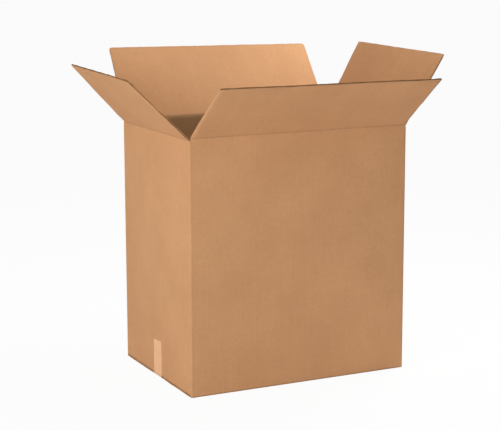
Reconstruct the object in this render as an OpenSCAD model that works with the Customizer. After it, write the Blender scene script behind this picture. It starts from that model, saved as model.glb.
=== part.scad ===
// Open corrugated shipping box: one folded and glued blank with four hinged top flaps.
// The origin is on the floor under the middle of the box. +X runs along the long walls,
// +Y towards the back wall and +Z up. All lengths are in millimetres.

/* [Box] */
// Outside length, along the two long walls
box_l = 580; // [400:1:800]
// Outside width, along the two end walls
box_w = 406; // [300:1:600]
// Height from the floor to the creases of the long flaps
box_h = 615; // [300:1:900]

/* [Board] */
// Thickness of the corrugated board
board_t = 4; // [3:0.1:5]
// Thickness of each flat liner of the board
liner_t = 0.3; // [0.2:0.05:0.5]
// Thickness of the wavy sheet between the liners
medium_t = 0.25; // [0.2:0.05:0.4]
// Distance from one flute to the next
flute_pitch = 7.8; // [6:0.1:10]
// Inside radius of a folded corner
fold_r = 0.4; // [0.2:0.1:1]

/* [Flaps] */
// Gap between the free edges of two long flaps that are closed
seam_gap = 2; // [1:0.5:10]
// Air between the rounding of a folded corner and a flap's side edge
side_clear = 0.3; // [0.2:0.1:3]
// Air between the closed end flaps and the long flaps over them
layer_clear = 0.3; // [0.2:0.1:1]
// Air in the fold between a wall and its flap
crease_clear = 0.3; // [0.2:0.1:1]
// Width of the pressed band beside a crease, where the flutes are shut
press_w = 10; // [6:1:20]
// Depth of the corner slots below the creases of the end flaps
slot_drop = 1; // [0.5:0.5:4]

/* [Rest pose] */
// Outward lean of the front flap from upright, in degrees
front_lean = 51; // [0:1:120]
// Outward lean of the back flap from upright, in degrees
back_lean = 32; // [0:1:120]
// Outward lean of the left flap from upright, in degrees
left_lean = 46; // [0:1:120]
// Outward lean of the right flap from upright, in degrees
right_lean = 33; // [0:1:120]

/* [Glue tab] */
// Reach of the glue tab along the inside of the left wall
tab_w = 35; // [20:1:60]
// How far each end of the tab is cut back at its free edge
tab_taper = 12; // [2:1:30]
// Room left above and below the tab for the folded end flaps
tab_margin = 8; // [3:1:30]
// Thickness of the glue film between the tab and the wall
glue_t = 0.2; // [0.1:0.05:0.5]
// Distance from the raw edge of the left wall to the back of the box
raw_edge_gap = 1; // [0.5:0.5:3]

/* [Tape] */
// Width of the tape along the bottom seam
tape_w = 48; // [36:1:76]
// Thickness of the tape
tape_t = 0.1; // [0.05:0.05:0.3]
// Height of the tape's ends on the end walls
tape_rise = 84; // [30:1:200]

/* [Hidden] */
$fn = 48;

// Kraft board in daylight, its shaded flap insides and the paler tape
board_colour = [0.76, 0.57, 0.41];
flap_colour = [0.79, 0.60, 0.43];
tape_colour = [0.88, 0.68, 0.52];

// Directions of the four walls, as turns about Z from the front
FRONT = 0;
RIGHT = 90;
BACK = 180;
LEFT = 270;

// Spare length of a cutting shape past the face it cuts
spare = 1;

fold_outer_r = fold_r + board_t;
flap_l = (box_w - seam_gap) / 2;
flap_inset = fold_outer_r + side_clear;

// Widths of the flat walls between the folded corners, and of the flaps on them
long_wall = box_l - 2 * fold_outer_r;
end_wall = box_w - 2 * fold_outer_r;
long_flap = box_l - 2 * flap_inset;
end_flap = box_w - 2 * flap_inset;

// The end flaps fold first, so their creases lie one board nearer the middle of the box
long_crease_z = box_h;
end_crease_z = box_h - board_t - layer_clear;
long_floor_z = 0;
end_floor_z = board_t + layer_clear;
wall_low_z = end_floor_z + fold_outer_r;
slot_z = end_crease_z - slot_drop;

// The joint of the blank is at the back left corner
joint_x = -box_l / 2;
joint_y = box_w / 2;
tab_x = joint_x + board_t + glue_t;
tab_low_z = end_floor_z + board_t + tab_margin;
tab_high_z = end_crease_z - board_t - tab_margin;

// Turns a profile drawn as (inward, up) into a strip that runs along X
module along_wall(span) {
    rotate([90, 0, 90]) linear_extrude(height = span, center = true) children();
}

// Places a shape drawn for the front wall on any wall
module on_wall(side) {
    reach = side == FRONT || side == BACK ? box_w / 2 : box_l / 2;
    rotate([0, 0, side]) translate([0, -reach, 0]) children();
}

module rounded_plan(length, width, r) {
    square([length - 2 * r, width], center = true);
    square([length, width - 2 * r], center = true);
    for (x = [-1, 1], y = [-1, 1]) {
        translate([x * (length / 2 - r), y * (width / 2 - r)]) circle(r);
    }
}

// A quarter of a fold, with its centre at the origin and its bend towards -X and -Y
module fold_section() {
    difference() {
        intersection() {
            circle(fold_outer_r);
            translate([-fold_outer_r, -fold_outer_r]) square(fold_outer_r);
        }
        circle(fold_r);
    }
}

// One wall with its bottom flap folded in below and the bevel of its crease on top
module panel_profile(floor_z, crease_z) {
    fold_z = floor_z + fold_outer_r;
    top_z = crease_z - crease_clear / 2;
    polygon([[0, fold_z], [board_t, fold_z], [board_t, top_z - board_t], [0, top_z]]);
    translate([fold_outer_r, fold_z]) fold_section();
    translate([fold_outer_r, floor_z]) square([flap_l - fold_outer_r, board_t]);
}

module long_panel(side) {
    on_wall(side) along_wall(long_wall) panel_profile(long_floor_z, long_crease_z);
}

module end_panel(side) {
    on_wall(side) along_wall(end_wall) panel_profile(end_floor_z, end_crease_z);
}

// The folded corners up to the slots, with the fourth one left open for the glued joint
module corners() {
    translate([0, 0, wall_low_z]) linear_extrude(height = slot_z - wall_low_z) difference() {
        rounded_plan(box_l, box_w, fold_outer_r);
        square([long_wall, box_w + spare], center = true);
        square([box_l + spare, end_wall], center = true);
        for (x = [-1, 1], y = [-1, 1]) {
            translate([x * (box_l / 2 - fold_outer_r), y * (box_w / 2 - fold_outer_r)])
                circle(fold_r);
        }
        translate([joint_x - spare, joint_y - fold_outer_r])
            square([spare + fold_outer_r, fold_outer_r + spare]);
    }
}

// Raw edge of the left wall, which reaches almost to the back of the box
module raw_edge() {
    translate([joint_x, joint_y - fold_outer_r, wall_low_z])
        cube([board_t, fold_outer_r - raw_edge_gap, slot_z - wall_low_z]);
}

// Clears the end of the back wall for the fold of the glue tab
module tab_notch() {
    translate([joint_x + board_t + glue_t / 2, joint_y - fold_outer_r, tab_low_z])
        cube([glue_t / 2 + fold_outer_r, fold_outer_r + spare, tab_high_z - tab_low_z]);
}

module glue_tab() {
    translate([tab_x + fold_outer_r, joint_y - fold_outer_r, tab_low_z])
        linear_extrude(height = tab_high_z - tab_low_z) mirror([0, 1]) fold_section();
    tab_reach = tab_w - fold_outer_r;
    translate([tab_x, joint_y - fold_outer_r, 0]) rotate([90, 0, 90])
        linear_extrude(height = board_t) polygon([
            [0, tab_low_z],
            [0, tab_high_z],
            [-tab_reach, tab_high_z - tab_taper],
            [-tab_reach, tab_low_z + tab_taper]
        ]);
    // The film stops short of the tab's edges
    film_edge = board_t;
    translate([joint_x + board_t, joint_y - tab_w + film_edge, tab_low_z + tab_taper])
        cube([glue_t, tab_reach - 2 * film_edge, tab_high_z - tab_low_z - 2 * tab_taper]);
}

// Shallow bed that the tape is pressed into, so that the box still stands flat
module tape_bed() {
    translate([-box_l / 2, -tape_w / 2, -spare]) cube([box_l, tape_w, spare + tape_t]);
}

module box_body() {
    color(board_colour) {
        difference() {
            union() {
                corners();
                long_panel(FRONT);
                long_panel(BACK);
                end_panel(LEFT);
                end_panel(RIGHT);
            }
            tab_notch();
            tape_bed();
        }
        raw_edge();
        glue_tab();
    }
}

// Section of the hollow under one wave of the medium, resting on the outer liner
module flute_hollow(pitch) {
    core = board_t - 2 * liner_t - medium_t;
    foot = 160 / 360 * pitch;
    wave = [for (a = [-90:60:90]) [a / 360 * pitch, liner_t + core * (1 + cos(a)) / 2]];
    polygon(concat([[-foot, liner_t]], wave, [[foot, liner_t]]));
}

// Hollows on both sides of the medium. Their number is rounded so that the side edges
// cut through the middle of a wave.
module flutes(span) {
    waves = round(span / flute_pitch);
    pitch = span / waves;
    for (i = [0:2 * waves]) {
        translate([(i - waves) * pitch / 2, 0]) {
            if (i % 2 == 0) flute_hollow(pitch);
            else translate([0, board_t]) mirror([0, 1]) flute_hollow(pitch);
        }
    }
}

// A flap drawn upright over the front wall's crease, bevelled so that it shuts level
module flap(span) {
    foot_z = crease_clear / 2;
    difference() {
        along_wall(span) polygon([
            [0, foot_z], [board_t, foot_z + board_t], [board_t, flap_l], [0, flap_l]
        ]);
        translate([0, 0, press_w]) linear_extrude(height = flap_l) flutes(span);
    }
}

// Hangs a flap on its wall's crease and leans it outwards
module hung_flap(side, crease_z, lean) {
    on_wall(side) translate([0, 0, crease_z]) rotate([lean, 0, 0]) children();
}

module front_flap() {
    color(board_colour) hung_flap(FRONT, long_crease_z, front_lean) flap(long_flap);
}

module back_flap() {
    color(flap_colour) hung_flap(BACK, long_crease_z, back_lean) flap(long_flap);
}

module left_flap() {
    color(flap_colour) hung_flap(LEFT, end_crease_z, left_lean) flap(end_flap);
}

module right_flap() {
    color(board_colour) hung_flap(RIGHT, end_crease_z, right_lean) flap(end_flap);
}

// One strip along the bottom seam, bent up over both end walls
module bottom_tape() {
    bend_r = fold_outer_r;
    color(tape_colour) rotate([90, 0, 0]) linear_extrude(height = tape_w, center = true) {
        translate([-box_l / 2 + bend_r, 0]) square([box_l - 2 * bend_r, tape_t]);
        for (end = [0, 1]) mirror([end, 0]) {
            translate([-box_l / 2 + bend_r, bend_r + tape_t]) difference() {
                intersection() {
                    circle(bend_r + tape_t);
                    translate([-bend_r - tape_t, -bend_r - tape_t]) square(bend_r + tape_t);
                }
                circle(bend_r);
            }
            translate([-box_l / 2 - tape_t, bend_r + tape_t])
                square([tape_t, tape_rise - bend_r - tape_t]);
        }
    }
}

box_body();
front_flap();
back_flap();
left_flap();
right_flap();
bottom_tape();
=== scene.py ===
"""Looks of the open cardboard box: corrugated board, creases, cut edges, tape, light and camera.

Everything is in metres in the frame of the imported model: the origin is on the floor under the
middle of the box, +X along the long walls, +Y towards the back and +Z up.
"""

import math

import bpy
import numpy as np
from mathutils import Matrix, Vector


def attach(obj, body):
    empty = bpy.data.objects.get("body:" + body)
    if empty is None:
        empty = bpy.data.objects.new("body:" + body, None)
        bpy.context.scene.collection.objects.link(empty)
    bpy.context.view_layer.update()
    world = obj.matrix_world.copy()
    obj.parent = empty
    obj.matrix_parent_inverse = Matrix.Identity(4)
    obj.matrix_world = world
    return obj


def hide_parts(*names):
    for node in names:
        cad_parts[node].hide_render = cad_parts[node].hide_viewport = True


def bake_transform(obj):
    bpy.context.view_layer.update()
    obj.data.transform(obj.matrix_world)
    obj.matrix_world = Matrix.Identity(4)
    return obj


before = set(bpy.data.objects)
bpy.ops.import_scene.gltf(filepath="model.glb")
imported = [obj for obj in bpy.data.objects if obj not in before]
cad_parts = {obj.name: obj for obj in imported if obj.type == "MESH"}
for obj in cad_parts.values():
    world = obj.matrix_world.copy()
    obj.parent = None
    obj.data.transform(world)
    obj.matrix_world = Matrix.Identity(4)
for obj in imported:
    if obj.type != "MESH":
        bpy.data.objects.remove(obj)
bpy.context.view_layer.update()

# Sizes of the box and its board, as in the CAD source
BOX_L, BOX_W, BOX_H = 0.580, 0.406, 0.615
BOARD, LINER, MEDIUM, PITCH = 0.004, 0.0003, 0.00025, 0.0078
FOLD_IN, FOLD_OUT = 0.0004, 0.0044
FLAP = 0.202
LONG_WALL, END_WALL = BOX_L - 2 * FOLD_OUT, BOX_W - 2 * FOLD_OUT
LONG_FLAP, END_FLAP = 0.5706, 0.3966
END_CREASE, END_FLOOR, SLOT = 0.6107, 0.0043, 0.6097
GLUE, RAW_GAP = 0.0002, 0.001
TAB_W, TAB_TAPER, TAB_LOW, TAB_HIGH = 0.035, 0.012, 0.0163, 0.5987
TAPE_W, TAPE_T, TAPE_RISE = 0.048, 0.0001, 0.084

# Half the width of the scored band that bends at a crease
CREASE = 0.0052
# The long bottom flaps lie this far over the floor, so that the tape fits under them
BED = 0.00012
# Length of board in a quarter fold, and the number of flat faces that it is drawn with
ARC, FOLD_TURNS = FOLD_OUT * math.pi / 2, 6
# The folded corners reach down to here, between the bottom flaps
CORNER_LOW = 0.0015
# Distance between the columns of a wall's grid, and the share by which a cut edge is thinner
WALL_STEP, THINNED = 0.016, 0.10

# Wear is a number at each point of a mesh, and it also carries painted light: below 0 the paper is
# darker, which is painted shade at folds and cut edges, and above 0 it is rubbed pale, where in
# places
# that pale tone is painted light: a highlight on a side cut and a lightened recess under the end
# walls. On the tape it is darker, at the film's edges and as painted shade where it bends. Beside a
# fold or edge it fades over this distance.
WEAR_AND_SHADE_REACH = 0.0035
PAINTED_SHADE_DARK, RUB_AND_HIGHLIGHT_PALE, TAPE_EDGE_AND_SHADE_DARK = 0.25, 0.30, 0.5
# The side cuts of most top flaps are darkened: painted shade.
SIDE_CUT_SHADE = (-0.25, -0.25)

# The four sides, each along +X before its turn about Z. reach is its distance from the middle,
# crease and floor are heights, wall and flap are widths, lean is the flap's angle outwards from
# upright, and bow is how far the wall's middle stands out. Angles are in degrees. Each pair is
# for the left and right end, as seen from outside: the flap's twist outwards, deeps, the depth
# of the crushed hollow in its side cuts, blunt, how far its free corners are knocked in, and
# the last, the colour painted along its side cuts: painted shade below 0 and a painted highlight
# above 0.
SIDES = {
    "left": dict(turn=270, reach=BOX_L / 2, crease=END_CREASE, floor=END_FLOOR, wall=END_WALL,
                 flap=END_FLAP, lean=46, twist=(-3.0, 0), bow=0.0009, deeps=(0.0004, 0.0022),
                 blunt=(0.0012, 0.0032), rub_and_painted_light=SIDE_CUT_SHADE),
    # The front flap's left side cut is painted pale as a highlight, and its right side cut is
    # painted dark as shade.
    "front": dict(turn=0, reach=BOX_W / 2, crease=BOX_H, floor=BED, wall=LONG_WALL,
                  flap=LONG_FLAP, lean=51, twist=(0.7, 1.4), bow=-0.0008, deeps=(0.0004, 0.0006),
                  blunt=(0.0014, 0.0003), rub_and_painted_light=(2.4, -1.0)),
    "right": dict(turn=90, reach=BOX_L / 2, crease=END_CREASE, floor=END_FLOOR, wall=END_WALL,
                  flap=END_FLAP, lean=33, twist=(0, -3.5), bow=-0.0010, deeps=(0.0004, 0.0012),
                  blunt=(0.0009, 0.0013), rub_and_painted_light=SIDE_CUT_SHADE),
    "back": dict(turn=180, reach=BOX_W / 2, crease=BOX_H, floor=BED, wall=LONG_WALL,
                 flap=LONG_FLAP, lean=32, twist=(5.1, 0), bow=0.0012, deeps=(0.0008, 0.0005),
                 blunt=(0.0008, 0.0015), rub_and_painted_light=SIDE_CUT_SHADE),
}

# Where the middle of each wall lies along the flat blank, for textures that run on over folds
blank_u = 0.0
for name, side in SIDES.items():
    blank_u += 0 if name == "left" else side["wall"] / 2
    side["u"] = blank_u
    blank_u += side["wall"] / 2 + ARC

# Material slots of the board's meshes: the kraft faces, and cut edges with the medium
KRAFT, CUT = 0, 1
# Inside faces read the pattern this far along, so that they differ from the outside
INSIDE_SHIFT = 4.0
# The medium's crushed edge starts this far inside the side cut, and runs this far into the liners
INSET, OVERLAP = 0.0001, 0.00005
# Points on one wave of the medium
WAVE_POINTS = 12


def smooth(t):
    """Eases from 0 to 1 as t goes from 0 to 1."""
    t = np.clip(t, 0, 1)
    return t * t * (3 - 2 * t)


def bell(t):
    """1 at t = 0, falling off smoothly on both sides."""
    return np.exp(-t * t)


def ripple(x, length, seed):
    """A gentle uneven wave between -1 and 1, with bumps about length apart."""
    rng = np.random.default_rng(seed)
    rates = np.array([1.0, 1.73, 2.9])
    phases = rng.random(3)
    waves = [np.sin(2 * np.pi * (x / length * r + p)) / r for r, p in zip(rates, phases)]
    return sum(waves) / (1 / rates).sum()


def steps(a, b, step, ends=(0.0006, 0.0015, 0.003, 0.006, 0.011)):
    """Positions from a to b, step apart in the middle and closer at both ends."""
    near = np.array([e for e in ends if e < (b - a) / 4])
    low, high = a + near.max(initial=0), b - near.max(initial=0)
    middle = np.linspace(low, high, max(2, int(round((high - low) / step)) + 1))
    return np.unique(np.round(np.concatenate([[a], a + near, middle, b - near, [b]]), 7))


def to_row(side, x, inward, up):
    """Points given along a wall, inward from its outer face and up, in the row frame."""
    turn = math.radians(side["turn"])
    c, s = round(math.cos(turn)), round(math.sin(turn))
    x, y, z = np.broadcast_arrays(x, inward - side["reach"], up)
    return np.stack([c * x - s * y, s * x + c * y, z], -1)


class Shell:
    """Gathers closed slabs of board into one mesh, with UVs that lie on the flat blank.

    x runs along a side, h through the board from its outside and s away from the crease. u and v
    are the place on the flat blank, with v = 0 at a crease, or on the flat tape."""

    def __init__(self):
        self.points, self.wear, self.faces, self.uv, self.marks = [], [], [], [], []
        self.count = 0

    def slab(self, outer, inner, u, v, wear=0.0, marks=(KRAFT, KRAFT, CUT)):
        """A closed slab between two grids of points. marks are for outside, inside and rims."""
        n, m = outer.shape[:2]
        u, v, wear = (np.broadcast_to(k, (n, m)).reshape(-1) for k in (u, v, wear))
        near = np.arange(n * m).reshape(n, m)
        far = near + n * m

        def cells(k):
            return np.stack([k[:-1, :-1], k[1:, :-1], k[1:, 1:], k[:-1, 1:]], -1).reshape(-1, 4)

        def rim(a, b):
            return np.stack([a[:-1], a[1:], b[1:], b[:-1]], -1)

        rims = np.concatenate([
            rim(near[0], far[0]), rim(near[-1], far[-1])[:, ::-1],
            rim(near[:, 0], far[:, 0])[:, ::-1], rim(near[:, -1], far[:, -1]),
        ])
        sets = [cells(near), cells(far)[:, ::-1], rims]
        flat = np.stack([u, v], -1)
        uv_out = np.concatenate([flat, flat])
        uv_in = uv_out + (INSIDE_SHIFT, 0)
        uv_rim = uv_out.copy()
        uv_rim[n * m:] += BOARD
        uvs = [uv_out[sets[0]], uv_in[sets[1]], uv_rim[sets[2]]]
        points = np.concatenate([outer.reshape(-1, 3), inner.reshape(-1, 3)])
        faces, uv = np.concatenate(sets), np.concatenate(uvs)
        p = points[faces]
        volume = (p[:, 0] * np.cross(p[:, 1], p[:, 2]) + p[:, 0] * np.cross(p[:, 2], p[:, 3])).sum()
        if volume < 0:
            faces, uv = faces[:, ::-1], uv[:, ::-1]
        self.points.append(points)
        self.wear.append(np.concatenate([wear, wear]))
        self.faces.append(faces + self.count)
        self.uv.append(uv)
        self.marks.append(np.repeat(marks, [len(k) for k in sets]))
        self.count += len(points)

    def board(self, place, xs, ss, rows, u, v, wear, deeps=(0.0004, 0.0004), strips=(CUT, CUT)):
        """Two liners with a wavy medium between them. place(x, h, s) gives the points of the
        sheet. The waves run along s, with points at rows. Along its two side cuts the medium is
        crushed into a hollow as deep as deeps says, and strips gives the material there."""
        x, s = xs[:, None], ss[None, :]
        self.slab(place(x, 0.0, s), place(x, LINER, s), u(x), v(s), wear(x, s), (KRAFT, CUT, CUT))
        self.slab(place(x, BOARD - LINER, s), place(x, BOARD, s), u(x), v(s), wear(x, s),
                  (CUT, KRAFT, CUT))
        ends = ((xs[0], 1, deeps[0]), (xs[-1], -1, deeps[1]))
        x0, x1 = (edge + inward * (deep + 2 * MEDIUM) for edge, inward, deep in ends)
        self.medium(place, x0, x1, rows, u, v)
        for (edge, inward, deep), strip in zip(ends, strips):
            self.crushed(place, edge + inward * INSET, inward, deep, ss, u, v, strip)

    def crushed(self, place, x, inward, deep, ss, u, v, strip):
        """The medium's crushed edge, which closes the board along its side cuts."""
        h = np.linspace(LINER - OVERLAP, BOARD - LINER + OVERLAP, 5)[:, None]
        hollow = deep * np.cos(np.linspace(-np.pi / 2, np.pi / 2, 5))[:, None]
        s = ss[None, :]
        outer = place(x + inward * hollow, h, s)
        inner = place(x + inward * (hollow + MEDIUM), h, s)
        self.slab(outer, inner, u(x) + h, v(s), 0.0, (strip, CUT, CUT))

    def medium(self, place, x0, x1, rows, u, v):
        """The wavy sheet between the liners, with a whole number of waves from x0 to x1."""
        waves = max(1, round((x1 - x0) / PITCH))
        x = np.linspace(x0, x1, WAVE_POINTS * waves + 1)[:, None]
        s = rows[None, :]
        swing = (BOARD - 2 * LINER - MEDIUM) / 2
        turn = 2 * np.pi * waves * (x - x0) / (x1 - x0)
        slope = swing * 2 * np.pi * waves / (x1 - x0) * np.sin(turn)
        half = MEDIUM / 2 * np.sqrt(1 + slope**2)
        middle = BOARD / 2 + swing * np.cos(turn)
        low = np.maximum(middle - half, LINER)
        high = np.minimum(middle + half, BOARD - LINER)
        self.slab(place(x, low, s), place(x, high, s), u(x), v(s), 0.0, (CUT, CUT, CUT))

    def build(self, name, slots, sharp=35):
        """Makes the object. Edges that bend by more than sharp degrees are shaded sharp."""
        faces = np.concatenate(self.faces)
        mesh = bpy.data.meshes.new(name)
        mesh.from_pydata(np.concatenate(self.points).tolist(), [], faces.tolist())
        mesh.uv_layers.new(name="sheet").uv.foreach_set(
            "vector", np.concatenate(self.uv).astype(np.float32).ravel())
        mesh.attributes.new("wear", "FLOAT", "POINT").data.foreach_set(
            "value", np.concatenate(self.wear).astype(np.float32))
        for material in slots:
            mesh.materials.append(material)
        mesh.polygons.foreach_set("material_index", np.concatenate(self.marks).astype(np.int32))
        mesh.validate()
        mesh.shade_smooth()
        mesh.set_sharp_from_angle(angle=math.radians(sharp))
        obj = bpy.data.objects.new(name, mesh)
        bpy.context.scene.collection.objects.link(obj)
        return obj


# Materials


class Nodes:
    """Short words for building a node tree."""

    def __init__(self, name):
        self.material = bpy.data.materials.new(name)
        self.material.use_nodes = True
        self.tree = self.material.node_tree
        self.shader = self.tree.nodes["Principled BSDF"]

    def add(self, kind, *inputs, out=0, **settings):
        """Adds a node, sets or links its inputs in order or by name, and gives one output."""
        node = self.tree.nodes.new("ShaderNode" + kind)
        for key, value in settings.items():
            if key in node.bl_rna.properties:
                setattr(node, key, value)
            else:
                self.put(node.inputs[key], value)
        for socket, value in zip(node.inputs, inputs):
            self.put(socket, value)
        return node.outputs[out]

    def put(self, socket, value):
        if isinstance(value, bpy.types.NodeSocket):
            self.tree.links.new(value, socket)
        elif value is not None:
            socket.default_value = value

    def math(self, operation, *inputs):
        return self.add("Math", *inputs, operation=operation)

    def noise(self, vector, scale, detail=2.0, rough=0.5, distortion=0.0):
        return self.add("TexNoise", Vector=vector, Scale=scale, Detail=detail, Roughness=rough,
                        Distortion=distortion)

    def range(self, value, low, high, to_low, to_high):
        return self.add("MapRange", value, low, high, to_low, to_high)

    def mix(self, factor, a, b):
        node = self.tree.nodes.new("ShaderNodeMix")
        node.data_type = "RGBA"
        for socket, value in zip((node.inputs[0], node.inputs[6], node.inputs[7]), (factor, a, b)):
            self.put(socket, value)
        return node.outputs[2]

    def scaled(self, vector, x, y):
        """The vector with its first two parts multiplied, for stretched patterns."""
        return self.add("VectorMath", vector, (x, y, 1.0), operation="MULTIPLY")

    def swing(self, source, width):
        """A noise turned into a value around 0, width from its lowest to its highest."""
        return self.math("MULTIPLY", self.math("SUBTRACT", source, 0.5), width)


# The score line: half its width, how far it wanders and the strength of its painted shade
SCORE_HALF, SCORE_WANDER, SCORE_DARK = 0.0020, 0.0026, 0.24
# The power of this number to the square of a distance is a bell curve
BELL_BASE = 0.36
# The painted shade inside the box, a darker tone, begins at the first of these heights over a
# crease, and is full at the second
INSIDE_SHADE_FROM, INSIDE_SHADE_FULL = 0.006, -0.003


def kraft_material(name, tone_a, tone_b, inside_shade_tone):
    """Kraft liner in two tones, with a third as painted shade inside the box below the creases."""
    n = Nodes(name)
    sheet = n.add("UVMap", uv_map="sheet")
    split = n.tree.nodes.new("ShaderNodeSeparateXYZ")
    n.put(split.inputs[0], sheet)
    along, up = split.outputs[0], split.outputs[1]

    # Pulp: wide clouds, small mottling and stretched fibres in two directions
    cloud = n.noise(sheet, 7.0, 3.0, 0.6)
    mottle = n.noise(sheet, 95.0, 4.0, 0.65)
    speck = n.noise(sheet, 700.0, 3.0, 0.7)
    streak = n.noise(n.scaled(sheet, 150.0, 9.0), 1.0, 4.0, 0.65, 0.6)
    clump = n.noise(sheet, 260.0, 4.0, 0.7, 0.8)
    fibre = n.noise(n.scaled(sheet, 420.0, 1900.0), 1.0, 2.0, 0.6, 1.2)
    fibre_up = n.noise(n.scaled(sheet, 1900.0, 380.0), 1.0, 2.0, 0.6, 1.2)
    pale = n.range(fibre, 0.60, 0.72, 0.0, 1.0)
    dark = n.range(fibre_up, 0.63, 0.74, 0.0, 1.0)

    # The flutes show through the liner as faint upright lines
    flute = n.math("SINE", n.math("MULTIPLY", along, 2 * math.pi / PITCH))

    # The score lines at the creases, with a band of painted shade along each one
    row = n.scaled(sheet, 1.0, 0.0)
    wander = n.swing(n.noise(row, 14.0, 3.0), SCORE_WANDER)
    off = n.math("DIVIDE", n.math("SUBTRACT", up, wander), SCORE_HALF)
    line = n.math("POWER", BELL_BASE, n.math("MULTIPLY", off, off))
    # crushed sets where the painted shade of the score line is stronger, in patches
    crushed = n.range(n.noise(row, 30.0, 3.0, 0.6), 0.3, 0.65, 0.35, 1.0)
    score = n.math("MULTIPLY", line, crushed)

    tone = n.mix(n.range(cloud, 0.35, 0.65, 0.0, 1.0), tone_a, tone_b)
    # Painted shade: inside faces below the creases take the darker third tone
    inside = n.math("GREATER_THAN", along, INSIDE_SHIFT / 2)
    below = n.range(up, INSIDE_SHADE_FROM, INSIDE_SHADE_FULL, 0.0, 1.0)
    tone = n.mix(n.math("MULTIPLY", inside, below), tone, inside_shade_tone)
    shade = 1.0
    for source, amount in ((mottle, 0.09), (speck, 0.08), (streak, 0.05), (clump, 0.08)):
        shade = n.math("ADD", shade, n.swing(source, 2 * amount))
    shade = n.math("ADD", shade, n.math("MULTIPLY", flute, 0.006))
    shade = n.math("ADD", shade, n.math("MULTIPLY", pale, 0.06))
    shade = n.math("SUBTRACT", shade, n.math("MULTIPLY", dark, 0.09))
    shade = n.math("SUBTRACT", shade, n.math("MULTIPLY", score, SCORE_DARK))
    # Below 0 this attribute darkens the paper: painted shade at folds, corners and cut edges
    wear = n.add("Attribute", attribute_name="wear", out=2)
    shade = n.math("ADD", shade, n.math("MULTIPLY", n.math("MINIMUM", wear, 0.0), PAINTED_SHADE_DARK))
    colour = n.add("VectorMath", tone, n.add("CombineXYZ", shade, shade, shade),
                   operation="MULTIPLY")

    # Rubbed folds and edges are paler and greyer, and the same pale tone is painted light on one
    # side cut and on the bottom flaps' edges in the recess under the end walls
    patchy = n.range(n.noise(sheet, 42.0, 5.0, 0.7), 0.30, 0.70, 0.35, 1.0)
    rub_and_highlight = n.math("MULTIPLY", n.math("MAXIMUM", wear, 0.0), patchy)
    rub_and_painted_light = tuple(min(1.0, k * 1.22 + 0.03) for k in tone_a[:3]) + (1,)
    colour = n.mix(n.math("MULTIPLY", rub_and_highlight, RUB_AND_HIGHLIGHT_PALE), colour, rub_and_painted_light)
    n.put(n.shader.inputs["Base Color"], colour)
    n.put(n.shader.inputs["Roughness"], n.range(mottle, 0.3, 0.7, 0.80, 0.93))
    n.shader.inputs["Specular IOR Level"].default_value = 0.25

    # Bump, in metres
    height = n.math("MULTIPLY", flute, 0.00002)
    for source, amount in ((mottle, 0.00007), (speck, 0.00002), (pale, 0.00002), (clump, 0.00003)):
        height = n.math("ADD", height, n.math("MULTIPLY", source, amount))
    height = n.math("SUBTRACT", height, n.math("MULTIPLY", score, 0.00015))
    bump = n.add("Bump", Strength=0.8, Distance=1.0, Height=height)
    n.put(n.shader.inputs["Normal"], bump)
    return n.material


def cut_material():
    """Cut liner edges and the wavy medium's coarser paper, darker as painted shade of the flutes.
    """
    n = Nodes("board_cut")
    sheet = n.add("UVMap", uv_map="sheet")
    grain = n.noise(sheet, 420.0, 4.0, 0.7)
    fuzz = n.noise(n.scaled(sheet, 300.0, 1500.0), 1.0, 3.0, 0.7)
    both = n.math("MULTIPLY", n.math("ADD", grain, fuzz), 0.5)
    torn = n.range(n.noise(sheet, 24.0, 3.0, 0.7), 0.38, 0.62, 0.0, 1.0)
    # The coarse paper's own tones, darkened as painted shade of the open flutes
    dark = n.mix(torn, (0.225, 0.110, 0.044, 1), (0.39, 0.202, 0.090, 1))
    light = n.mix(torn, (0.39, 0.203, 0.090, 1), (0.56, 0.315, 0.152, 1))
    n.put(n.shader.inputs["Base Color"], n.mix(n.range(both, 0.35, 0.65, 0.0, 1.0), dark, light))
    n.put(n.shader.inputs["Roughness"], n.range(grain, 0.3, 0.7, 0.88, 0.98))
    n.shader.inputs["Specular IOR Level"].default_value = 0.15
    n.put(n.shader.inputs["Normal"], n.add("Bump", Strength=0.7, Distance=0.0001, Height=both))
    return n.material


def tape_material():
    """Satin tan film, drawn along its length, with small bubbles under it."""
    n = Nodes("tan_tape")
    sheet = n.add("UVMap", uv_map="sheet")
    cloud = n.noise(sheet, 60.0, 3.0, 0.6)
    drawn = n.noise(n.scaled(sheet, 900.0, 12.0), 1.0, 3.0, 0.6)
    bubble = n.range(n.noise(sheet, 330.0, 2.0, 0.5, 0.4), 0.60, 0.72, 0.0, 1.0)
    tones = ((0.75, 0.395, 0.175, 1), (0.82, 0.440, 0.205, 1))
    colour = n.mix(n.range(cloud, 0.3, 0.7, 0.0, 1.0), *tones)
    colour = n.mix(n.math("MULTIPLY", bubble, 0.35), colour, (0.83, 0.53, 0.33, 1))
    # Darker at the film's edges, and painted shade where it goes round the bottom edges
    edge = n.add("Attribute", attribute_name="wear", out=2)
    colour = n.mix(n.math("MULTIPLY", edge, TAPE_EDGE_AND_SHADE_DARK), colour, (0.47, 0.25, 0.12, 1))
    n.put(n.shader.inputs["Base Color"], colour)
    n.put(n.shader.inputs["Roughness"], n.range(drawn, 0.3, 0.7, 0.30, 0.42))
    n.shader.inputs["Specular IOR Level"].default_value = 0.45
    height = n.math("ADD", n.math("MULTIPLY", drawn, 0.00002), n.math("MULTIPLY", bubble, 0.00003))
    height = n.math("ADD", height, n.math("MULTIPLY", cloud, 0.0002))
    n.put(n.shader.inputs["Normal"], n.add("Bump", Strength=0.7, Distance=1.0, Height=height))
    return n.material


# The third tone is the painted shade inside the box
kraft = kraft_material("kraft_liner", (0.600, 0.318, 0.152, 1), (0.560, 0.292, 0.138, 1),
                       (0.415, 0.255, 0.130, 1))
cut = cut_material()
tape_film = tape_material()
BOARD_SLOTS = (kraft, cut)


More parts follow.
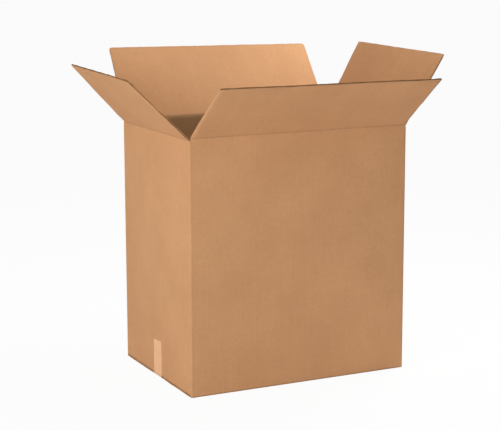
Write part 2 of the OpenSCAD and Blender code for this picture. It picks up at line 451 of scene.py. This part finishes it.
# The walls, with their corner folds, glued joint and bottom flaps


# Painted shade on the corner folds and on the walls beside them, and wear on the glue tab
CORNER_FOLD_SHADE, BESIDE_FOLD_SHADE, TAB_WEAR = -0.35, -0.15, 0.15
# How much thinner the glue tab is pressed, from which place on and over what distance
TAB_PRESS, PRESS_FROM, PRESS_OVER = 0.0012, 0.022, 0.009


def bow(side, x, z):
    """How far the wall stands out of its plane at a point."""
    low, high = side["floor"] + FOLD_OUT, side["crease"] - CREASE
    upright = np.sin(np.pi * np.clip((z - low) / (high - low), 0, 1))
    across = np.cos(np.pi * np.clip(x / side["wall"], -0.5, 0.5))
    return side["bow"] * upright * across**0.8


def wall_point(side, x, h, z):
    return to_row(side, x, h - bow(side, x, z), z)


def near_corner(distance):
    """Wear and painted shade next to a fold or edge, by the distance from it."""
    return bell(distance / WEAR_AND_SHADE_REACH)


def wall_columns(side, low, high):
    """Columns of the wall's grid: functions of z for the outer and inner face, and facts."""
    for x in steps(low, high, WALL_STEP):
        top = side["crease"] - CREASE if abs(x) <= side["flap"] / 2 + 1e-6 else SLOT
        # The wall beside a corner fold is darkened: painted shade
        wear = BESIDE_FOLD_SHADE * near_corner(side["wall"] / 2 - abs(x))
        yield dict(outer=lambda z, x=x: wall_point(side, x, 0.0, z),
                   inner=lambda z, x=x: wall_point(side, x, BOARD, z),
                   u=side["u"] + x, low=side["floor"] + FOLD_OUT, top=top,
                   crease=side["crease"], wear=wear)


def fold_columns(centre, start, side):
    """Columns of a folded corner about centre, from the angle start onwards by a quarter."""
    for k in range(1, FOLD_TURNS):
        angle = start + math.pi / 2 * k / FOLD_TURNS
        way = np.array([math.cos(angle), math.sin(angle)])
        u = side["u"] + side["wall"] / 2 + ARC * k / FOLD_TURNS

        def at(radius, z, way=way):
            x, y = np.array(centre) + radius * way
            return np.stack(np.broadcast_arrays(x, y, z), -1)

        # The corner fold is darkened: painted shade
        yield dict(outer=lambda z, at=at: at(FOLD_OUT, z), inner=lambda z, at=at: at(FOLD_IN, z),
                   u=u, low=CORNER_LOW, top=SLOT, crease=BOX_H, wear=CORNER_FOLD_SHADE)


def walls(shell):
    """The four walls and three folded corners, as one sheet that starts at the glued joint."""
    half_l, half_w = BOX_L / 2, BOX_W / 2
    # Signs of x and y, and the start angle, of the corner after each wall but the last
    corners = [(-1, -1, math.pi), (1, -1, 1.5 * math.pi), (1, 1, 0.0), None]
    columns = []
    for (name, side), corner in zip(SIDES.items(), corners):
        low, high = -side["wall"] / 2, side["wall"] / 2
        if name == "left":
            low = -side["flap"] / 2
        if name == "back":
            high = joint_fold_x()
        columns += wall_columns(side, low, high)
        if corner:
            centre = (corner[0] * (half_l - FOLD_OUT), corner[1] * (half_w - FOLD_OUT))
            columns += fold_columns(centre, corner[2], side)
    heights = steps(0.0, 1.0, 0.028, (0.002, 0.006, 0.014))

    def level(c):
        return c["low"] + (c["top"] - c["low"]) * heights

    outer = np.stack([c["outer"](level(c)) for c in columns])
    inner = np.stack([c["inner"](level(c)) for c in columns])
    u = np.array([c["u"] for c in columns])[:, None]
    v = np.stack([level(c) - c["crease"] for c in columns])
    wear = np.array([c["wear"] for c in columns])[:, None]
    shell.slab(outer, inner, u, v, wear)


def joint_fold_x():
    """Where the back wall's glue fold begins, along the back wall."""
    return BOX_L / 2 - BOARD - GLUE - FOLD_OUT


def glued_joint(shell):
    """The fold at the end of the back wall, the tab glued inside the left wall, the two short
    ends of the back wall above and below the fold, and the raw edge of the left wall."""
    back, left = SIDES["back"], SIDES["left"]
    centre = (-joint_fold_x(), BOX_W / 2 - FOLD_OUT)
    spots = []
    for k in range(FOLD_TURNS + 1):
        angle = math.pi / 2 + math.pi / 2 * k / FOLD_TURNS
        spots.append((np.array([math.cos(angle), math.sin(angle)]), 0.0, 0.0))
    reach = TAB_W - FOLD_OUT
    for t in steps(0.0, reach, 0.006, (0.001, 0.003))[1:]:
        spots.append((np.array([-1.0, 0.0]), t, t / reach))
    heights = steps(0.0, 1.0, 0.03, (0.002, 0.006, 0.014))
    outer, inner, us, vs = [], [], [], []
    for k, (way, slide, share) in enumerate(spots):
        z = TAB_LOW + TAB_TAPER * share
        z = z + (TAB_HIGH - TAB_LOW - 2 * TAB_TAPER * share) * heights
        # The tab is pressed thinner towards its free edge
        press = TAB_PRESS * smooth((slide - PRESS_FROM) / PRESS_OVER)
        for out, radius in ((outer, FOLD_OUT), (inner, FOLD_IN + press)):
            x, y = np.array(centre) + radius * way - np.array([0, slide])
            out.append(np.stack(np.broadcast_arrays(x, y, z), -1))
        us.append(back["u"] + joint_fold_x() + ARC * min(k, FOLD_TURNS) / FOLD_TURNS + slide)
        vs.append(z - BOX_H)
    shell.slab(np.stack(outer), np.stack(inner), np.array(us)[:, None], np.stack(vs), TAB_WEAR)

    # Glue between the tab and the wall, a little into the wall and short of the tab's edges
    film = steps(TAB_LOW + TAB_TAPER, TAB_HIGH - TAB_TAPER, 0.05)[None, :]
    y = np.array([0.0, TAB_W - 3 * FOLD_OUT])[:, None] + BOX_W / 2 - TAB_W + FOLD_OUT
    wall_x = -BOX_L / 2 + BOARD
    grids = [np.stack(np.broadcast_arrays(wall_x + k, y, film), -1) for k in (-0.0001, GLUE)]
    shell.slab(*grids, y, film, 0.0, (CUT, CUT, CUT))

    # Ends of the back wall past the fold
    for low, high in ((CORNER_LOW, TAB_LOW), (TAB_HIGH, SLOT)):
        x = np.array([joint_fold_x(), LONG_WALL / 2])[:, None]
        z = np.array([low, high])[None, :]
        shell.slab(wall_point(back, x, 0.0, z), wall_point(back, x, BOARD, z), back["u"] + x,
                   z - BOX_H, 0.5)

    # Raw edge of the left wall: the two liners and the last half wave between them
    x0, x1 = -(BOX_W / 2 - RAW_GAP), -left["flap"] / 2
    z = steps(CORNER_LOW, SLOT, 0.03)[None, :]
    x = np.array([x0, (x0 + x1) / 2, x1])[:, None]
    for h, marks in ((0.0, (KRAFT, CUT, CUT)), (BOARD - LINER, (CUT, KRAFT, CUT))):
        shell.slab(wall_point(left, x, h, z), wall_point(left, x, h + LINER, z), left["u"] + x,
                   z - END_CREASE, 0.6, marks)
    x = np.linspace(x0, x1, 9)[:, None]
    middle = BOARD / 2 - (BOARD / 2 - LINER - MEDIUM) * np.cos(np.pi * (x - x0) / (x1 - x0))
    faces = [wall_point(left, x, middle + k, z) for k in (-MEDIUM / 2, MEDIUM / 2)]
    shell.slab(*faces, left["u"] + x, z - END_CREASE, 0.0, (CUT, CUT, CUT))


# Painted shade on the folds under the end walls and under the long walls, and the cut edges rubbed
# pale, which is also painted light in the shaded recess under the end walls
END_FOLD_SHADE, LONG_FOLD_SHADE, BOTTOM_EDGE_RUB_AND_LIGHT = -0.3, -0.8, 0.6
# How far the ends of the long bottom flaps reach out under the end walls
SPREAD = 0.0025
# How far the end flaps spring up at their free edge: in its middle, and more from end to end
SPRING, SPRING_SKEW = 0.0022, 0.0012


def bottom_flap(shell, name):
    """The fold under a wall and the bottom flap behind it, with its fluted free edge."""
    side = SIDES[name]
    fold_z = side["floor"] + FOLD_OUT
    x = steps(-side["wall"] / 2, side["wall"] / 2, WALL_STEP)[:, None]
    angle = np.linspace(0, math.pi / 2, FOLD_TURNS + 1)[None, :]

    def fold(radius):
        return to_row(side, x, FOLD_OUT - radius * np.cos(angle), fold_z - radius * np.sin(angle))

    lifted = name in ("left", "right")
    v0 = fold_z - side["crease"]
    # The folds under the walls are darkened: painted shade
    fold_wear = END_FOLD_SHADE if lifted else LONG_FOLD_SHADE
    shell.slab(fold(FOLD_OUT), fold(FOLD_IN), side["u"] + x, v0 - FOLD_OUT * angle, fold_wear)
    # The long flaps end a little under the end walls, but not where the tape goes round
    spread = 0.0 if lifted else SPREAD / (side["wall"] / 2)
    seam = BOX_W / 2 - FOLD_OUT
    length = FLAP - FOLD_OUT

    def place(x, h, s):
        share = s / length
        lift = 0.0
        if lifted:
            lift = (SPRING + SPRING_SKEW * x / side["wall"]) * share**2
        squeeze = THINNED * bell((length - s) / 0.0015)
        h = BOARD / 2 + (h - BOARD / 2) * (1 - squeeze)
        x = x * (1 + spread * smooth((seam - s - TAPE_W / 2) / 0.012))
        return to_row(side, x, FOLD_OUT + s, side["floor"] + h + lift)

    # Paler near the flap's edges: rubbed wear, which also lightens the shaded recess under the end
    # walls as painted light
    def wear(x, s):
        edge = np.minimum(length - s, side["wall"] / 2 - abs(x))
        return BOTTOM_EDGE_RUB_AND_LIGHT * near_corner(edge)

    shell.board(place, x[:, 0], steps(0.0, length, 0.018), np.linspace(0.0, length, 9),
                lambda x: side["u"] + x, lambda s: v0 - ARC - s, wear)


def box_shell():
    """The whole body of the box as one piece."""
    shell = Shell()
    walls(shell)
    glued_joint(shell)
    for name in SIDES:
        bottom_flap(shell, name)
    obj = shell.build("box_shell", BOARD_SLOTS)
    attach(obj, "box")
    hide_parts("box_body")


# Top flaps and the creases that they hang on


def lean(side, inward, up):
    """A point of the upright flap, leaned outwards about the crease."""
    a = math.radians(side["lean"])
    return inward * math.cos(a) - up * math.sin(a), inward * math.sin(a) + up * math.cos(a)


# A flap's twist grows over this distance from the crease band, and its face is uneven by this much
TWIST_START, UNEVEN = 0.020, 0.0006
# Size of a flap's blunt corner, width of the squeezed strip along its cut edges, and how much
# thinner that strip is in places, beyond THINNED
NOOK, SQUEEZED, DASHED = 0.004, 0.0018, 0.30
# How far the painted highlight along a side cut reaches, and the painted shade at the free edge
HIGHLIGHT_REACH, FREE_EDGE_SHADE = 0.007, -0.50


def top_flap(name):
    """One top flap above its crease band, as a fluted board."""
    side = SIDES[name]
    half = side["flap"] / 2
    seed = list(SIDES).index(name)
    first, last = (math.radians(t) for t in side["twist"])

    def start(s):
        return (s - CREASE) ** 2 / (s - CREASE + TWIST_START)

    def place(x, h, s):
        """Twisted and a little uneven, and squeezed thinner along its cut edges."""
        share = (x + half) / (2 * half)
        tip = FLAP * (np.tan(first) * (1 - share) + np.tan(last) * share)
        out = tip * start(s) / start(FLAP)
        out = out + UNEVEN * ripple(x, 0.31, seed) * smooth((s - CREASE) / 0.12)
        edge = np.minimum(FLAP - s, half - abs(x))
        dash = smooth((ripple(x + 0.7 * s, 0.055, seed + 10) + 0.05) / 0.35)
        # The corners are knocked blunt
        nook = bell((FLAP - s) / NOOK) * bell((half - abs(x)) / NOOK)
        nook = nook * np.where(x < 0, *side["blunt"])
        x, s = x - np.sign(x) * nook, s - nook
        squeeze = (THINNED + DASHED * dash) * bell(edge / SQUEEZED)
        h = BOARD / 2 + (h - BOARD / 2) * (1 - squeeze)
        inward, up = lean(side, h - out, s + 0 * x)
        return to_row(side, x, inward, side["crease"] + up)

    def wear(x, s):
        # Along the side cuts, painted shade below 0 and a painted highlight above 0, and painted
        # shade at the free edge
        amount = np.where(x < 0, *side["rub_and_painted_light"])
        reach = np.where(amount < 0, WEAR_AND_SHADE_REACH, HIGHLIGHT_REACH)
        return amount * bell((half - abs(x)) / reach) + FREE_EDGE_SHADE * near_corner(FLAP - s)

    # A side cut with a painted highlight shows the liner's paper on its crushed strip
    strips = [KRAFT if k > 0 else CUT for k in side["rub_and_painted_light"]]
    shell = Shell()
    shell.board(place, steps(-half, half, 0.012), steps(CREASE, FLAP, 0.012),
                steps(CREASE, FLAP, 0.015, (0.0012, 0.004, 0.010)), lambda x: side["u"] + x,
                lambda s: s, wear, side["deeps"], strips)
    obj = shell.build(name + "_flap_board", BOARD_SLOTS)
    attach(obj, name + "_flap")
    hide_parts(name + "_flap")


# Depth and half width of the score's dent outside and of its valley inside
DENT, DENT_HALF, VALLEY, VALLEY_HALF = 0.00040, 0.0015, 0.0007, 0.0024
# How much these depths change along the crease
DENT_SWING, VALLEY_SWING = 0.00014, 0.0002
# Rubbed wear along the middle of the crease, how far it reaches, and the wear at the two ends
MIDDLE_WEAR, MIDDLE_REACH, END_WEAR = 0.35, 0.004, 0.5
# Rounds of the loop that settles how far each point turns
ROUNDS = 80


def crease(name):
    """The scored band between a wall and its flap. It is one sheet with both."""
    side = SIDES[name]
    seed = list(SIDES).index(name) + 20
    x = steps(-side["flap"] / 2, side["flap"] / 2, 0.006)[:, None]
    s = np.sin(np.linspace(-np.pi / 2, np.pi / 2, 21))[None, :] * CREASE
    dent = DENT + DENT_SWING * ripple(x, 0.045, seed)
    valley = VALLEY + VALLEY_SWING * ripple(x, 0.06, seed + 1)
    faces = (dent * bell(s / DENT_HALF), BOARD - valley * bell(s / VALLEY_HALF))

    # Each point turns by its own share of the lean, and the share depends on where it ends up
    start = np.array([0.0, -CREASE])
    end = np.array(lean(side, 0.0, CREASE))
    chord = end - start
    full = math.radians(side["lean"])
    grids = []
    for h in faces:
        h, up = np.broadcast_arrays(h, s)
        share = np.full(h.shape, 0.5)
        for _ in range(ROUNDS):
            a = share * full
            inward, rise = h * np.cos(a) - up * np.sin(a), h * np.sin(a) + up * np.cos(a)
            along = (inward - start[0]) * chord[0] + (rise - start[1]) * chord[1]
            share = 0.5 * share + 0.5 * smooth(along / (chord @ chord))
        grids.append(to_row(side, x, inward, side["crease"] + rise))
    shell = Shell()
    ends = near_corner(side["flap"] / 2 - abs(x))
    wear = MIDDLE_WEAR * bell(s / MIDDLE_REACH) + END_WEAR * ends
    shell.slab(*grids, side["u"] + x, s, wear)
    obj = shell.build(name + "_crease", BOARD_SLOTS, sharp=60)
    middle = np.array([0.0])
    from_point = to_row(side, middle, start[0], side["crease"] + start[1])[0]
    to_point = to_row(side, middle, end[0], side["crease"] + end[1])[0]
    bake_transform(obj)


# Tape along the bottom seam


# The film's inner face lies this far off the board, and its edges look darker over this distance
TAPE_GAP, TAPE_EDGE = 0.00001, 0.0007
# Number and depth of the teeth of the tape's cut ends
TEETH, TOOTH = 36, 0.0008
# Extra height of the tape's left end, and how much higher one edge is than the other, there and
# at the right end
LEFT_EXTRA, LEFT_SKEW, RIGHT_SKEW = 0.0087, 0.0045, 0.0006
# Darkness and size of the painted shade where the tape goes round the bottom edges
BEND_SHADE, BEND_SHADE_REACH = 1.2, 0.0075


def seam_tape():
    """One strip along the bottom seam, with its ends up both end walls."""
    left, right = SIDES["left"], SIDES["right"]
    x = np.linspace(-TAPE_W / 2, TAPE_W / 2, 2 * TEETH + 1)
    zigzag = np.where(np.arange(2 * TEETH + 1) % 2 == 0, 0.0, TOOTH)
    left_cut = zigzag - LEFT_EXTRA - LEFT_SKEW * x / TAPE_W
    right_cut = zigzag + RIGHT_SKEW * (0.5 - x / TAPE_W)
    bend = FOLD_OUT
    turn = np.linspace(0, np.pi / 2, FOLD_TURNS + 1)[-2:0:-1]
    climb = np.concatenate([[0.0, 0.001, 0.003], np.linspace(0.008, TAPE_RISE - bend, 10)])

    def wall_end(side, x, lift, cut_back):
        """Rows from the bottom fold up an end wall. cut_back lowers the end, tooth by tooth."""
        rows = []
        radius = bend + lift
        for a in turn:
            low = bend + TAPE_T - radius * np.sin(a)
            rows.append(to_row(side, x, bend - radius * np.cos(a), low))
        for z in climb:
            share = z / climb[-1]
            rows.append(wall_point(side, x, -lift, bend + TAPE_T + z - share**6 * cut_back))
        return rows

    def ring(lift):
        """The tape's path at a height above the board: down one wall, under and up the other."""
        rows = wall_end(left, x, lift, left_cut)[::-1]
        for k in np.linspace(-1, 1, 24):
            place = np.broadcast_arrays(k * (BOX_L / 2 - bend), -x, TAPE_T - lift)
            rows.append(np.stack(place, -1))
        return np.stack(rows + wall_end(right, -x, lift, right_cut), 1)

    outer, inner = ring(TAPE_T), ring(TAPE_GAP)
    lengths = np.linalg.norm(np.diff(outer[0], axis=0), axis=1)
    v = np.concatenate([[0.0], np.cumsum(lengths)])[None, :]
    edge = bell((TAPE_W / 2 - abs(x)) / TAPE_EDGE)[:, None]
    # Painted shade on the tape where it goes round the bottom edges
    corner = np.hypot(abs(outer[..., 0]) - BOX_L / 2, outer[..., 2])
    bend_shade = BEND_SHADE * bell(corner / BEND_SHADE_REACH)
    shell = Shell()
    # The film is the only material, in slot 0
    shell.slab(outer, inner, x[:, None], v, np.maximum(edge, bend_shade), (0, 0, 0))
    obj = shell.build("seam_tape", (tape_film,))
    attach(obj, "box")
    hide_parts("bottom_tape")


box_shell()
for name in SIDES:
    top_flap(name)
    crease(name)
seam_tape()


# Floor, light and camera


def seen_rays(tree):
    """1 for what the camera sees, also in mirrors and through glass, and otherwise 0."""
    path = tree.nodes.new("ShaderNodeLightPath")
    total = path.outputs["Is Camera Ray"]
    for other in ("Is Glossy Ray", "Is Transmission Ray"):
        add = tree.nodes.new("ShaderNodeMath")
        add.operation, add.use_clamp = "ADD", True
        tree.links.new(total, add.inputs[0])
        tree.links.new(path.outputs[other], add.inputs[1])
        total = add.outputs[0]
    return total


# Strength of the world's light on the object, and the share of white in the floor as seen
WORLD_LIGHT, FLOOR_WHITE = 0.25, 0.95
# Half the floor's size, and how far it lies below the box
FLOOR_REACH, FLOOR_DROP = 40.0, 0.0004


def studio():
    """A white world, and a pale floor that keeps the box's shadow."""
    world = bpy.data.worlds.new("studio")
    bpy.context.scene.world = world
    world.use_nodes = True
    tree = world.node_tree
    tree.nodes.clear()
    light, white = (tree.nodes.new("ShaderNodeBackground") for _ in range(2))
    light.inputs[0].default_value = (1.0, 1.0, 1.0, 1)
    light.inputs[1].default_value = WORLD_LIGHT
    white.inputs[0].default_value = (1, 1, 1, 1)
    mix = tree.nodes.new("ShaderNodeMixShader")
    tree.links.new(seen_rays(tree), mix.inputs[0])
    tree.links.new(light.outputs[0], mix.inputs[1])
    tree.links.new(white.outputs[0], mix.inputs[2])
    out = tree.nodes.new("ShaderNodeOutputWorld")
    tree.links.new(mix.outputs[0], out.inputs[0])

    mesh = bpy.data.meshes.new("floor")
    ends = ((-1, -1), (1, -1), (1, 1), (-1, 1))
    mesh.from_pydata([(FLOOR_REACH * a, FLOOR_REACH * b, 0) for a, b in ends], [], [(0, 1, 2, 3)])
    floor = bpy.data.objects.new("floor", mesh)
    floor.location.z = -FLOOR_DROP
    bpy.context.scene.collection.objects.link(floor)
    material = bpy.data.materials.new("white_floor")
    material.use_nodes = True
    tree = material.node_tree
    shader = tree.nodes["Principled BSDF"]
    shader.inputs["Base Color"].default_value = (0.86, 0.86, 0.86, 1)
    shader.inputs["Roughness"].default_value = 0.9
    shader.inputs["Specular IOR Level"].default_value = 0.1
    glow = tree.nodes.new("ShaderNodeEmission")
    glow.inputs[1].default_value = 1.0
    share = tree.nodes.new("ShaderNodeMath")
    share.operation = "MULTIPLY"
    share.inputs[1].default_value = FLOOR_WHITE
    tree.links.new(seen_rays(tree), share.inputs[0])
    mix = tree.nodes.new("ShaderNodeMixShader")
    tree.links.new(share.outputs[0], mix.inputs[0])
    tree.links.new(shader.outputs[0], mix.inputs[1])
    tree.links.new(glow.outputs[0], mix.inputs[2])
    tree.links.new(mix.outputs[0], tree.nodes["Material Output"].inputs[0])
    mesh.materials.append(material)


def away(azimuth, elevation):
    """Unit vector from the box towards a viewer at that azimuth and elevation."""
    a, e = math.radians(azimuth), math.radians(elevation)
    return Vector((math.sin(a) * math.cos(e), -math.cos(a) * math.cos(e), math.sin(e)))


# The lamps point at this spot. Each has a name, azimuth, elevation, distance, width and power
# in watts.
TARGET = Vector((0, 0, 0.40))
LAMPS = (
    ("key_left", -60, 10, 3.0, 1.6, 43.0),
    ("left_high", -70, 42, 2.8, 1.4, 7.5),
    ("front", -34, 8, 3.0, 1.6, 15.0),
    ("right_near", 98, 53, 1.60, 0.8, 22.5),
    ("back", 150, 30, 2.8, 1.4, 9.0),
)


def lamp(name, azimuth, elevation, distance, width, power):
    """A square soft light that faces the target and isn't seen itself."""
    data = bpy.data.lights.new(name, "AREA")
    data.size, data.energy = width, power
    obj = bpy.data.objects.new(name, data)
    way = away(azimuth, elevation)
    obj.location = TARGET + distance * way
    obj.rotation_mode = "QUATERNION"
    obj.rotation_quaternion = way.to_track_quat("Z", "Y")
    obj.visible_camera = False
    bpy.context.scene.collection.objects.link(obj)


# Fitted to the box's corners in the photograph: focal length in pixels, and the place of the
# camera as shares of its own right, up and back directions
FOCAL_PX, PICTURE_W, SENSOR = 1500.0, 500.0, 36.0
CAM_AZ, CAM_EL, CAM_ROLL = -26.096, 10.635, -0.142
CAM_RIGHT, CAM_UP, CAM_BACK = -0.0336, 0.3740, 3.8273


def camera():
    """The photograph's view, with no shift."""
    data = bpy.data.cameras.new("camera")
    data.sensor_width, data.lens = SENSOR, SENSOR * FOCAL_PX / PICTURE_W
    data.clip_start, data.clip_end = 0.05, 200.0
    obj = bpy.data.objects.new("camera", data)
    back = away(CAM_AZ, CAM_EL)
    right = Vector((math.cos(math.radians(CAM_AZ)), math.sin(math.radians(CAM_AZ)), 0))
    up = back.cross(right)
    roll = math.radians(CAM_ROLL)
    turned_right = right * math.cos(roll) + up * math.sin(roll)
    turned_up = up * math.cos(roll) - right * math.sin(roll)
    place = CAM_RIGHT * turned_right + CAM_UP * turned_up + CAM_BACK * back
    axes = Matrix((turned_right, turned_up, back)).transposed()
    obj.matrix_world = Matrix.Translation(place) @ axes.to_4x4()
    bpy.context.scene.collection.objects.link(obj)
    bpy.context.scene.camera = obj


studio()
for facts in LAMPS:
    lamp(*facts)
camera()
bpy.context.scene.view_settings.view_transform = "Standard"
